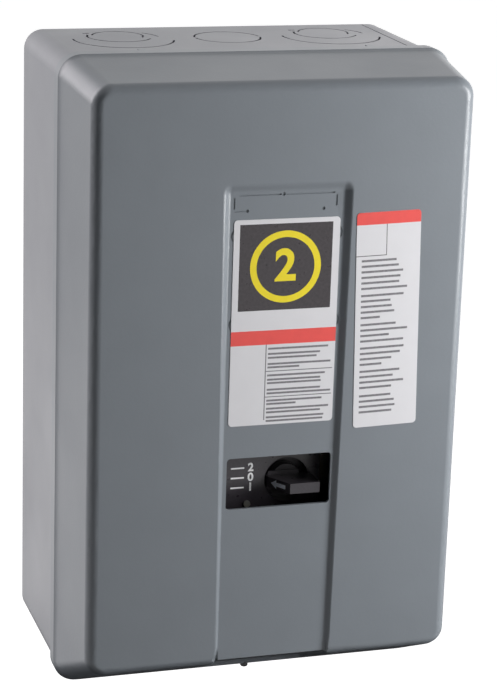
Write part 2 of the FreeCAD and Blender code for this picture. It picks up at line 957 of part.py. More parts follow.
def shading_heights():
    reach = magnet_half_height - outer_leg / 2
    return [magnet_z - reach, magnet_z + reach]


def magnet_core():
    half = magnet_half_width
    half_z = magnet_half_height
    y0 = core_y - yoke_depth
    yoke = box(-half, half, y0, core_y, magnet_z - half_z, magnet_z + half_z)
    legs = []
    for z0, z1 in ((-half_z, -half_z + outer_leg), (-centre_leg, centre_leg), (half_z - outer_leg, half_z)):
        legs.append(box(-half, half, pole_y, y0, magnet_z + z0, magnet_z + z1))
    grooves = [box(-half - over, half + over, pole_y - over, pole_y + shading_depth,
                   z - shading_width / 2, z + shading_width / 2) for z in shading_heights()]
    return without(joined([yoke] + legs), grooves)


def shading_rings():
    return Part.makeCompound([
        box(-magnet_half_width, magnet_half_width, pole_y + shading_drop, pole_y + shading_depth,
            z - shading_width / 2, z + shading_width / 2) for z in shading_heights()
    ])


def magnet_pad():
    """Rubber cushion between the fixed magnet and the housing's floor."""
    return box(-magnet_half_width, magnet_half_width, core_y, core_y + magnet_seat,
               magnet_z - magnet_half_height, magnet_z + magnet_half_height)


def coil_window():
    """Half sizes of the bobbin's hole, and the bobbin's rear and front planes."""
    return (magnet_half_width + bobbin_fit, centre_leg + bobbin_fit,
            core_y - yoke_depth - bobbin_fit, pole_y + bobbin_drop)


def coil_bobbin():
    hx, hz, rear, front = coil_window()
    ox = hx + bobbin_wall
    oz = hz + bobbin_wall
    reach = winding_build + flange_lip
    tube = box(-ox, ox, front, rear, magnet_z - oz, magnet_z + oz)
    flanges = []
    for y in (front, rear - bobbin_flange):
        flanges.append(box(-ox - reach, ox + reach, y, y + bobbin_flange,
                           magnet_z - oz - reach, magnet_z + oz + reach))
    hole = box(-hx, hx, front - over, rear + over, magnet_z - hz, magnet_z + hz)
    return joined([tube] + flanges).cut(hole)


def coil_winding():
    hx, hz, rear, front = coil_window()
    ox = hx + bobbin_wall
    oz = hz + bobbin_wall
    build = winding_build
    outer = rounded_slab(-ox - build, ox + build, magnet_z - oz - build, magnet_z + oz + build,
                         winding_corner, front + bobbin_flange, rear - bobbin_flange)
    hole = box(-ox, ox, front, rear, magnet_z - oz, magnet_z + oz)
    return outer.cut(hole)


def armature():
    return box(-magnet_half_width, magnet_half_width, carrier_y, armature_y,
               magnet_z - magnet_half_height, magnet_z + magnet_half_height)


def spring_places():
    return [(side * return_spring_x, magnet_z) for side in (-1, 1)]


def contact_carrier():
    plate = box(-carrier_half_width, carrier_half_width, carrier_y - carrier_plate, carrier_y,
                magnet_z - carrier_half_height, magnet_z + carrier_half_height)
    front = bridge_y - bridge_sheet - post_lead
    lane = bridge_width / 2 + loose_gap
    posts = []
    windows = []
    for x in poles():
        posts.append(box(x - post_half_width, x + post_half_width, front, carrier_y - carrier_plate,
                         magnet_z - post_half_height, magnet_z + post_half_height))
        windows.append(box(x - lane, x + lane, front + post_cap, bridge_y,
                           magnet_z - post_half_height - over, magnet_z + post_half_height + over))
    bore_end = carrier_y - travel - return_spring_lap - return_bore_clear
    bores = [rod_y(x, z, return_spring_bore, bore_end, carrier_y + over) for x, z in spring_places()]
    arm = box(carrier_half_width - over, aux_x + aux_plunger_radius, arm_front(), arm_front() + aux_arm,
              magnet_z - arm_half_height, magnet_z + arm_half_height)
    return without(joined([plate, arm] + posts), windows + bores)


def contact_bridge(x):
    strip = box(x - bridge_width / 2, x + bridge_width / 2, bridge_y - bridge_sheet, bridge_y,
                magnet_z - bridge_half_length, magnet_z + bridge_half_length)
    tips = [rod_y(x, magnet_z + side * tip_z, tip_radius, bridge_y, bridge_y + tip_height)
            for side in (-1, 1)]
    return joined([strip] + tips)


def contact_bridges():
    return Part.makeCompound([contact_bridge(x) for x in poles()])


def contact_springs():
    front = bridge_y - bridge_sheet - post_lead + post_cap
    return Part.makeCompound([
        spring_y(x, magnet_z, contact_spring_radius, bridge_y - bridge_sheet, front, contact_spring_turns)
        for x in poles()
    ])


def return_springs():
    floor = device_y - contactor_floor
    return Part.makeCompound([
        spring_y(x, z, return_spring_radius, floor, carrier_y - return_spring_lap, return_spring_turns)
        for x, z in spring_places()
    ])


# auxiliary contact


def aux_block():
    front = device_y - aux_depth
    body = box(aux_x - aux_width / 2, aux_x + aux_width / 2, front, device_y,
               magnet_z - aux_height / 2, magnet_z + aux_height / 2)
    bore = rod_y(aux_x, magnet_z, aux_plunger_radius + shaft_fit, front - over,
                 front + aux_chamber_front + over)
    inner = aux_width / 2 - aux_wall
    chamber = box(aux_x - inner, aux_x + inner, front + aux_chamber_front, device_y - aux_wall,
                  magnet_z - aux_bridge_half - aux_wall, magnet_z + aux_bridge_half + aux_wall)
    half = terminal_head_radius
    pockets = [box(aux_x - half, aux_x + half, front - over, front + aux_pocket, z - half, z + half)
               for z in aux_screw_heights()]
    return without(body, [bore, chamber] + pockets)


def aux_screw_heights():
    reach = aux_height / 2 - terminal_head_radius - aux_wall / 2
    return [magnet_z - reach, magnet_z + reach]


def aux_screws():
    floor = device_y - aux_depth + aux_pocket
    heads = []
    for z in aux_screw_heights():
        head = rod_y(aux_x, z, aux_screw_radius, floor - terminal_head_height, floor)
        slot = box(aux_x - aux_screw_radius, aux_x + aux_screw_radius, floor - terminal_head_height,
                   floor - terminal_head_height / 2, z - driver_slot / 2, z + driver_slot / 2)
        heads.append(head.cut(slot))
    return Part.makeCompound(heads)


def aux_plunger():
    front = arm_front() + aux_arm + loose_gap
    chamber = device_y - aux_depth + aux_chamber_front
    stem = rod_y(aux_x, magnet_z, aux_plunger_radius, front, chamber + aux_bridge_lead + bridge_sheet)
    half = aux_width / 2 - aux_wall - loose_gap
    seat = chamber + aux_bridge_lead
    bridge = box(aux_x - half, aux_x + half, seat, seat + bridge_sheet,
                 magnet_z - aux_bridge_half, magnet_z + aux_bridge_half)
    return joined([stem, bridge])


# overload relay


def relay_body():
    body = box(-relay_half, relay_half, relay_y, device_y, relay_bottom, relay_top)
    ears = mounting_ears(relay_half, relay_ear_heights())
    half = heater_half_width + heater_air
    reach = heater_height / 2 + heater_air
    cuts = ear_holes(relay_half, relay_ear_heights())
    for x in poles():
        cuts.append(box(x - half, x + half, relay_y - over, relay_y + heater_pocket,
                        trip_z - reach, trip_z + reach))
    cuts.append(rod_y(reset_x, reset_z, reset_radius + reset_fit, relay_y - over,
                      relay_y + reset_stem + reset_travel + reset_bore_clear))
    cuts.append(rod_y(reset_x, reset_z, reset_well_radius, relay_y - over, relay_y + reset_well))
    return without(joined([body] + ears), cuts)


def heater_tab_screw_height(side):
    return trip_z + side * (heater_height / 2 + heater_tab / 2)


def heater_elements():
    """Thermal unit of each pole: its block hangs in a pocket from two screw tabs."""
    units = []
    block_y = relay_y + heater_drop
    for x in poles():
        parts = [box(x - heater_half_width, x + heater_half_width, block_y, block_y + heater_depth,
                     trip_z - heater_block_half, trip_z + heater_block_half)]
        for side in (-1, 1):
            near = trip_z + side * (heater_block_half - heater_tab_lap)
            far = trip_z + side * (heater_height / 2 + heater_tab)
            parts.append(box(x - heater_tab_half, x + heater_tab_half, relay_y - heater_tab_sheet, relay_y,
                             near, far))
            parts.append(box(x - heater_tab_half, x + heater_tab_half, relay_y, block_y,
                             near, trip_z + side * heater_block_half))
        units.append(joined(parts))
    return Part.makeCompound(units)


def heater_screws():
    seat = relay_y - heater_tab_sheet
    screws = []
    for x in poles():
        for side in (-1, 1):
            z = heater_tab_screw_height(side)
            head = rod_y(x, z, terminal_head_radius, seat - terminal_head_height, seat)
            slot = box(x - terminal_head_radius, x + terminal_head_radius, seat - terminal_head_height,
                       seat - terminal_head_height / 2, z - driver_slot / 2, z + driver_slot / 2)
            screws.append(head.cut(slot))
    return Part.makeCompound(screws)


def pole_links():
    """Copper straps from the contactor's load strips down to the thermal units' upper tabs."""
    top = contactor_bottom + strip_inset
    bottom = trip_z + heater_height / 2 + heater_tab
    return Part.makeCompound([
        box(x - link_half, x + link_half, contactor_y - strip_sheet, contactor_y, bottom, top)
        for x in poles()
    ])


def motor_terminals():
    lugs = []
    y0 = relay_y + lug_setback
    for x in poles():
        lug = box(x - lug_half, x + lug_half, y0, y0 + 2 * lug_half, relay_bottom - lug_height, relay_bottom)
        bore = rod_z(x, y0 + lug_half, lug_bore, relay_bottom - lug_height - over, relay_bottom - lug_floor)
        lugs.append(lug.cut(bore))
    return Part.makeCompound(lugs)


def motor_terminal_screws():
    y0 = relay_y + lug_setback
    z = relay_bottom - lug_height / 2
    screws = []
    for x in poles():
        head = rod_y(x, z, lug_bore, y0 - terminal_head_height, y0)
        slot = box(x - driver_slot / 2, x + driver_slot / 2, y0 - terminal_head_height,
                   y0 - terminal_head_height / 2, z - lug_bore, z + lug_bore)
        screws.append(head.cut(slot))
    return Part.makeCompound(screws)


def reset_plunger():
    stem = rod_y(reset_x, reset_z, reset_radius, relay_y - reset_show, relay_y + reset_stem)
    cap = rod_y(reset_x, reset_z, reset_cap_radius, relay_y - reset_show - reset_cap, relay_y - reset_show)
    return joined([stem, cap])


def reset_spring():
    return spring_y(reset_x, reset_z, reset_spring_radius, relay_y + reset_well,
                    relay_y - reset_show + reset_travel + loose_gap, reset_spring_turns)


def trip_bar():
    bar = rod_x(trip_y, trip_z, trip_bar_radius, -trip_bar_half, trip_bar_half)
    reach = trip_bar_half - trip_lever_inset
    levers = [box(x - trip_bar_radius, x + trip_bar_radius, trip_y - trip_bar_radius / 2,
                  trip_y + trip_bar_radius / 2, trip_z - trip_lever, trip_z) for x in (-reach, reach)]
    return joined([bar] + levers)


def trip_brackets():
    ears = []
    for side in (-1, 1):
        outer = side * (trip_bar_half - trip_ear_inset)
        x0, x1 = sorted((outer, outer - side * trip_ear))
        plate = box(x0, x1, trip_y - trip_ear_half, relay_y, trip_z - trip_ear_half, trip_z + trip_ear_half)
        ears.append(plate.cut(rod_x(trip_y, trip_z, trip_bar_radius + shaft_fit, x0 - over, x1 + over)))
    return Part.makeCompound(ears)


# earth terminal


def earth_lug():
    body = box(earth_x - earth_width / 2, earth_x + earth_width / 2, device_y - earth_depth, device_y,
               earth_z - earth_length / 2, earth_z + earth_length / 2)
    middle = device_y - earth_depth / 2
    bore = rod_z(earth_x, middle, earth_bore, earth_z - earth_length, earth_z + earth_length)
    thread = rod_y(earth_x, earth_z, earth_screw_radius + thread_fit, device_y - earth_depth - over,
                   middle)
    return without(body, [bore, thread])


def earth_screw():
    front = device_y - earth_depth
    screw = rod_y(earth_x, earth_z, earth_screw_radius, front - earth_screw_show, front + earth_screw_in)
    slot = box(earth_x - driver_slot / 2, earth_x + driver_slot / 2, front - earth_screw_show,
               front - earth_screw_show + earth_slot_depth,
               earth_z - earth_screw_radius, earth_z + earth_screw_radius)
    return screw.cut(slot)


# selector operator


def selector_housing():
    body = rounded_slab(selector_left, selector_right, selector_bottom, selector_top, selector_corner,
                        moulding_y, stand_y)
    well = rod_y(knob_x, knob_z, well_radius, moulding_y - over, well_y)
    bore = rod_y(knob_x, knob_z, shaft_radius + shaft_fit, well_y - over, stand_y + over)
    holes = [rod_y(x, z, small_screw_radius + thread_fit, moulding_y - over, moulding_y + small_hole_depth)
             for x, z in selector_screw_places()]
    return without(body, [well, bore] + holes)


def selector_screw_places():
    inset = corner_screw_inset
    return [(screw_spot_x, window_z - screw_spot_drop), (selector_left + inset, selector_bottom + inset),
            (selector_left + inset, selector_top - high_screw_inset),
            (selector_right - inset, selector_top - inset)]


def selector_screws():
    heads = []
    for x, z in selector_screw_places():
        shank = rod_y(x, z, small_screw_radius, moulding_y, moulding_y + small_shank)
        head = rod_y(x, z, small_head_radius, moulding_y - small_head_height, moulding_y)
        heads.append(joined([shank, head]))
    return Part.makeCompound(heads)


def legend_plate():
    return rounded_slab(selector_left, legend_right, window_z - legend_under, window_z + legend_above,
                        legend_corner, moulding_y - legend_sheet, moulding_y)


def lever_outline():
    """Corners of the lever seen from above, from its right end round to its tip."""
    front = floor_y + lever_recess
    overhang = moulding_y - lever_lift
    return [(lever_right, front), (lever_step, front), (lever_tip, hub_y - lever_tip_height),
            (lever_tip, hub_y), (lever_root, hub_y), (lever_root, overhang), (lever_right, overhang)]


def selector_knob():
    hub = rod_y(knob_x, knob_z, hub_radius, hub_y, hub_y + hub_height)
    points = [vec(knob_x + x, y, knob_z - lever_thick / 2) for x, y in lever_outline()]
    points.append(points[0])
    lever = Part.Face(Part.makePolygon(points)).extrude(vec(0, 0, lever_thick))
    skirt = box(knob_x + lever_tip + skirt_inset, knob_x + skirt_right, hub_y - skirt_thick, hub_y,
                knob_z - skirt_half, knob_z + skirt_half)
    shaft = rod_y(knob_x, knob_z, shaft_radius, hub_y, crank_y + crank_thick)
    return joined([hub, lever, skirt, shaft])


def selector_crank():
    disc = rod_y(knob_x, knob_z, crank_radius, crank_y, crank_y + crank_thick)
    disc = disc.cut(rod_y(knob_x, knob_z, shaft_radius, crank_y - over, crank_y + crank_thick + over))
    pin = rod_y(knob_x, knob_z + pin_offset, pin_radius, crank_y + crank_thick,
                crank_y + crank_thick + pin_length)
    return joined([disc, pin])


def knob_arrow():
    """Pointer inlay lying on the lever's sloping face."""
    (_, y0), (x1, y1), (x2, y2) = lever_outline()[:3]
    run = math.hypot(x1 - x2, y1 - y2)
    start = (run - arrow_length) / 2
    along = vec((x2 - x1) / run, (y2 - y1) / run, 0)
    out = vec(along.y, -along.x, 0)
    if out.y > 0:
        out = out * -1.0
    base = vec(knob_x + x1, y1, knob_z)
    shape = [(0, arrow_tail_half), (arrow_length - arrow_head, arrow_tail_half),
             (arrow_length - arrow_head, arrow_head_half), (arrow_length, 0)]
    shape += [(s, -h) for s, h in reversed(shape[:3])]
    points = [base + along * (start + s) + vec(0, 0, h) for s, h in shape]
    points.append(points[0])
    return Part.Face(Part.makePolygon(points)).extrude(out * arrow_sheet)


def stand_screw_places():
    return [(side * (stand_leg_x + stand_hole_out), z)
            for side in (-1, 1) for z in (stand_bottom + stand_hole_inset, stand_top - stand_hole_inset)]


def stand_bend(side):
    """Leg and foot on one side of the selector's bracket."""
    x0 = side * stand_leg_x
    x1 = side * (stand_leg_x + stand_sheet)
    leg = box(x0, x1, stand_y, device_y, stand_bottom, stand_top)
    foot = box(x0, side * (stand_leg_x + stand_foot), device_y - stand_sheet, device_y,
               stand_bottom, stand_top)
    return [leg, foot]


def selector_bracket():
    reach = stand_leg_x + stand_sheet
    deck = box(-reach, reach, stand_y, block_y, stand_bottom, stand_top)
    hole = rod_y(knob_x, knob_z, crank_radius + crank_hole_fit, stand_y - over, block_y + over)
    foot_holes = [rod_y(x, z, ear_screw_radius + hole_fit, device_y - stand_sheet - over, device_y + over)
                  for x, z in stand_screw_places()]
    return without(joined([deck] + stand_bend(-1) + stand_bend(1)), [hole] + foot_holes)


def bracket_screws():
    return Part.makeCompound([
        pan_screw(x, z, device_y - stand_sheet, device_y, ear_screw_radius, ear_head_radius, ear_head_height)
        for x, z in stand_screw_places()
    ])


def block_walls():
    return (knob_x - block_half_width, knob_x + block_half_width,
            knob_z - block_half_height, knob_z + block_half_height)


def selector_block():
    x0, x1, z0, z1 = block_walls()
    body = box(x0, x1, block_y, block_y + block_depth, z0, z1)
    chamber = box(x0 + block_wall, x1 - block_wall, block_y - over, block_y + block_depth - block_wall,
                  z0 + block_wall, z1 - block_wall)
    return body.cut(chamber)


def selector_carriage():
    """Sliding contact carrier driven by the crank's pin in its upright slot."""
    y0 = crank_y + crank_thick + crank_gap
    y1 = y0 + carriage_thick
    half_height_inside = block_half_height - block_wall - carriage_play
    plate = box(knob_x - carriage_half_width, knob_x + carriage_half_width, y0, y1,
                knob_z - half_height_inside, knob_z + half_height_inside)
    half = pin_radius + pin_fit / 2
    slot = box(knob_x - half, knob_x + half, y0 - over, y1 + over, knob_z + pin_offset - 2 * pin_radius,
               knob_z + block_half_height)
    return plate.cut(slot)


# internal wiring


def wire(points, radius):
    """Insulated lead along straight runs joined by tangent arcs."""
    points = [vec(*p) for p in points]
    edges = []
    here = points[0]
    for before, corner, after in zip(points, points[1:], points[2:]):
        into = (corner - before).normalize()
        out = (after - corner).normalize()
        turn = into.getAngle(out)
        shorter = min((corner - before).Length, (after - corner).Length)
        bend = min(bend_limit, bend_share * shorter / math.tan(turn / 2))
        cut = bend * math.tan(turn / 2)
        start = corner - into * cut
        end = corner + out * cut
        middle = (out - into).normalize()
        centre = corner + middle * (bend / math.cos(turn / 2))
        mid = centre - middle * bend
        edges.append(Part.LineSegment(here, start).toShape())
        edges.append(Part.Arc(start, mid, end).toShape())
        here = end
    edges.append(Part.LineSegment(here, points[-1]).toShape())
    path = Part.Wire(edges)
    direction = (points[1] - points[0]).normalize()
    profile = Part.Wire(Part.makeCircle(radius, points[0], direction))
    return path.makePipeShell([profile], True, False)


def coil_wires():
    """Two leads clipped down the left side, from the coil's terminals to the relay's contact."""
    leads = []
    for k in range(2):
        x = -contactor_half - wire_lane - k * wire_step
        y = contactor_y + wire_setback + k * wire_drop
        top = magnet_z + shoulder + k * wire_drop
        bottom = relay_top - wire_drop - k * wire_drop
        leads.append(wire([(-contactor_half, y, top), (x, y, top), (x, y, bottom), (-relay_half, y, bottom)],
                          wire_radius))
    return Part.makeCompound(leads)


def selector_wires():
    """Leads from the selector's contact block to the auxiliary contact and to the relay."""
    x0, x1, z0, z1 = block_walls()
    low = magnet_z - aux_height / 2
    leads = []
    for k in range(2):
        x = aux_x - k * wire_step
        y = block_y + wire_drop + k * wire_step
        z = knob_z + wire_step - k * wire_drop / 2
        end_y = device_y - aux_wire_rise - wire_step + k * wire_drop
        leads.append(wire([
            (x1, y, z), (x - wire_drop, y, z), (x, contactor_y - k * wire_drop / 2, z + wire_tail),
            (x, end_y, low - wire_tail), (x, end_y, low),
        ], wire_radius))
    y = block_y + wire_drop
    rear = relay_y + wire_drop
    left = -relay_half - wire_lane
    leads.append(wire([
        (x0, y, knob_z), (x0 - wire_reach, y, knob_z), (left, relay_y - wire_drop, knob_z - wire_lane),
        (left, rear, trip_z - wire_drop), (-relay_half, rear, trip_z - wire_drop),
    ], wire_radius))
    return Part.makeCompound(leads)


makers = [
    back_box, top_end_plate, bottom_end_plate, cover_shell, centre_label, side_label, cover_nut, cover_screw,
    latch_bracket, device_plate, plate_spacers, plate_screws, contactor_base, arc_cover, arc_cover_screws,
    line_terminals, load_terminals, line_screws, load_screws, magnet_core, shading_rings, magnet_pad,
    coil_bobbin, coil_winding, armature, contact_carrier, contact_bridges, contact_springs, return_springs,
    contactor_screws, relay_screws, pole_links, coil_wires, selector_wires,
    aux_block, aux_screws, aux_plunger, relay_body, heater_elements, heater_screws, motor_terminals,
    motor_terminal_screws, reset_plunger, reset_spring, trip_bar, trip_brackets, earth_lug, earth_screw,
    selector_housing, selector_screws, legend_plate, selector_knob, selector_crank, knob_arrow,
    selector_bracket, bracket_screws, selector_block, selector_carriage,
]

os.makedirs("parts", exist_ok=True)
for maker in makers:
    shape = maker()
    print(maker.__name__, len(shape.Solids), round(shape.Volume, 1), shape.isValid())
    shape.exportStep(os.path.join("parts", maker.__name__ + ".step"))
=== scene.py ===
import json
import math

import bmesh
import bpy
from mathutils import Euler, Matrix, Vector


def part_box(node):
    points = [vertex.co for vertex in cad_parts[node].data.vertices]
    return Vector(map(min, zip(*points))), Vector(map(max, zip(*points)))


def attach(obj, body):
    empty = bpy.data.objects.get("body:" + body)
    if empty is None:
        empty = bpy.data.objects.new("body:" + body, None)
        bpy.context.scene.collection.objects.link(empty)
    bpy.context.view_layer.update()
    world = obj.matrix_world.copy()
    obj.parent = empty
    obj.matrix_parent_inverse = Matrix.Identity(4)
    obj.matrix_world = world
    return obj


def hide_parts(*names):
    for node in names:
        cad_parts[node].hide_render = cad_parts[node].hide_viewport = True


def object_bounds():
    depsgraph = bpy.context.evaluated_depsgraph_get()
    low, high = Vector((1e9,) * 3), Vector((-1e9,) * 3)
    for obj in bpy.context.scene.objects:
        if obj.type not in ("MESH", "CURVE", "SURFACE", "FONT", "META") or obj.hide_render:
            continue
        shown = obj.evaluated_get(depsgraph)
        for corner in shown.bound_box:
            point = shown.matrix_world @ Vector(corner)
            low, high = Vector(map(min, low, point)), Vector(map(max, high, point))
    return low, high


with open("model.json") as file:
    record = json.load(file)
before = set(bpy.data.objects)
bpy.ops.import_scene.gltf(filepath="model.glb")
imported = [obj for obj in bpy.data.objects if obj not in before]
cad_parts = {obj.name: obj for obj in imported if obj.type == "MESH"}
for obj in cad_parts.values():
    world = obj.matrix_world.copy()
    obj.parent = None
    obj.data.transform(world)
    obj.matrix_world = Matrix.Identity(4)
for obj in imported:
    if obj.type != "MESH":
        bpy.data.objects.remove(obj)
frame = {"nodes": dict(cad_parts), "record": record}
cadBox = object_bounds()
weld = 1e-6         # metres, closer corners are one
onPlane = 1e-7      # metres, a corner this near a cut lies on it
print("frame loaded:", len(frame["nodes"]), "nodes")


# camera, in front of the starter, above it and to its left; angles in degrees, lens in millimetres

view = {
    "eye": (-0.2911, -1.0027, 0.2986),
    "turn": 17.434,
    "dip": 16.634,
    "roll": 1.86,
    "lens": 119.4,
}


def addCamera():
    data = bpy.data.cameras.new("camera")
    data.lens = view["lens"]
    camera = bpy.data.objects.new("camera", data)
    aim = Euler((math.radians(90 - view["dip"]), 0, math.radians(-view["turn"]))).to_matrix()
    camera.matrix_world = (aim @ Matrix.Rotation(math.radians(view["roll"]), 3, "Z")).to_4x4()
    camera.location = view["eye"]
    bpy.context.scene.collection.objects.link(camera)
    bpy.context.scene.camera = camera


addCamera()


# light, floor and the cards that the paint mirrors

studio = {
    "worldDiffuse": 0.2,
    "floorDrop": 0.55,
    "floorSize": 14.0,
    "floorColour": 0.5,
    "floorOpen": 0.9,       # share of the world's diffuse light that reaches the floor
    "lamps": {
        "leftRear": {"at": (-1.7, 1.4, 1.0), "size": (1.6, 2.0), "power": 47.0,
                     "colour": (1, 0.95, 0.98)},
        "rightSide": {"at": (0.45, -0.36, 0.09), "size": (0.2, 0.3), "power": 3.9,
                      "colour": (1, 1, 1)},
        "frontFill": {"at": (-0.5, -1.9, -1.2), "size": (1.2, 1.2), "power": 9.0,
                      "colour": (1, 1, 1)},
        "overhead": {"at": (1.3, 2.1, 0.6), "size": (1.2, 0.8), "power": 1.6,
                     "colour": (1, 0.96, 1)},
    },
    "cards": {
        "leftCard": {"at": (-1.3, -1.5, 0.45), "size": (2.1, 2.6)},
        "lowCard": {"at": (0.05, 0.06, -0.26), "size": (0.5, 0.85)},
    },
    "cardGrey": 0.015,
}


def mixByRay(nodes, links, seen, hidden):
    rays = nodes.new("ShaderNodeLightPath")
    total = nodes.new("ShaderNodeMath")
    total.operation = "ADD"
    links.new(rays.outputs["Is Camera Ray"], total.inputs[0])
    links.new(rays.outputs["Is Glossy Ray"], total.inputs[1])
    every = nodes.new("ShaderNodeMath")
    every.operation = "ADD"
    every.use_clamp = True
    links.new(total.outputs[0], every.inputs[0])
    links.new(rays.outputs["Is Transmission Ray"], every.inputs[1])
    mix = nodes.new("ShaderNodeMixShader")
    links.new(every.outputs[0], mix.inputs[0])
    links.new(hidden.outputs[0], mix.inputs[1])
    links.new(seen.outputs[0], mix.inputs[2])
    return mix


def lightWorld():
    world = bpy.data.worlds.new("studio")
    bpy.context.scene.world = world
    world.use_nodes = True
    nodes = world.node_tree.nodes
    links = world.node_tree.links
    nodes.clear()
    seen = nodes.new("ShaderNodeBackground")
    seen.inputs["Strength"].default_value = 1.0
    seen.inputs["Color"].default_value = (1, 1, 1, 1)
    hidden = nodes.new("ShaderNodeBackground")
    hidden.inputs["Color"].default_value = (1, 1, 1, 1)
    hidden.inputs["Strength"].default_value = studio["worldDiffuse"]
    out = nodes.new("ShaderNodeOutputWorld")
    links.new(mixByRay(nodes, links, seen, hidden).outputs[0], out.inputs["Surface"])


def addLamp(name, spec):
    data = bpy.data.lights.new(name, "AREA")
    data.shape = "RECTANGLE"
    data.size, data.size_y = spec["size"]
    data.energy = spec["power"]
    data.color = spec["colour"]
    lamp = bpy.data.objects.new(name, data)
    lamp.location = spec["at"]
    lamp.rotation_euler = (-Vector(spec["at"])).to_track_quat("-Z", "Y").to_euler()
    bpy.context.scene.collection.objects.link(lamp)


def stagePlane(name, width, height, place, material):
    mesh = bpy.data.meshes.new(name)
    shape = bmesh.new()
    bmesh.ops.create_grid(shape, x_segments=1, y_segments=1, size=0.5)
    bmesh.ops.scale(shape, vec=(width, height, 1), verts=shape.verts)
    bmesh.ops.transform(shape, matrix=place, verts=shape.verts)
    shape.to_mesh(mesh)
    shape.free()
    mesh.materials.append(material)
    plane = bpy.data.objects.new(name, mesh)
    bpy.context.scene.collection.objects.link(plane)
    return plane


def floorMaterial():
    material = bpy.data.materials.new("floorWhite")
    material.use_nodes = True
    nodes = material.node_tree.nodes
    links = material.node_tree.links
    nodes.clear()
    grey = studio["floorColour"]
    paper = nodes.new("ShaderNodeBsdfDiffuse")
    paper.inputs["Color"].default_value = (grey, grey, grey, 1)
    glow = nodes.new("ShaderNodeEmission")
    glow.inputs["Color"].default_value = (1, 1, 1, 1)
    glow.inputs["Strength"].default_value = 1 - studio["floorOpen"] * grey * studio["worldDiffuse"]
    lit = nodes.new("ShaderNodeAddShader")
    links.new(paper.outputs[0], lit.inputs[0])
    links.new(glow.outputs[0], lit.inputs[1])
    out = nodes.new("ShaderNodeOutputMaterial")
    links.new(mixByRay(nodes, links, lit, paper).outputs[0], out.inputs["Surface"])
    return material


def cardMaterial():
    material = bpy.data.materials.new("darkCard")
    material.use_nodes = True
    shader = material.node_tree.nodes["Principled BSDF"]
    grey = studio["cardGrey"]
    shader.inputs["Base Color"].default_value = (grey, grey, grey, 1)
    shader.inputs["Roughness"].default_value = 1.0
    shader.inputs["Specular IOR Level"].default_value = 0.0
    return material


def buildStudio():
    lightWorld()
    for name, spec in studio["lamps"].items():
        addLamp(name, spec)
    low = cadBox[0][2] - studio["floorDrop"]
    size = studio["floorSize"]
    stagePlane("floor", size, size, Matrix.Translation((0, 0, low)), floorMaterial())
    black = cardMaterial()
    for name, spec in studio["cards"].items():
        at = Vector(spec["at"])
        facing = (-at).to_track_quat("Z", "Y").to_matrix().to_4x4()
        card = stagePlane(name, *spec["size"], Matrix.Translation(at) @ facing, black)
        card.visible_camera = False
        card.visible_shadow = False


buildStudio()
bpy.context.scene.view_settings.view_transform = "Standard"
print("studio ready")


# finishes, sizes in metres: grain is (size, spread), bump is (size, height), bands are (axis, pitch,
# depth), specks are a size, pull stretches the grain and tint stains the colour

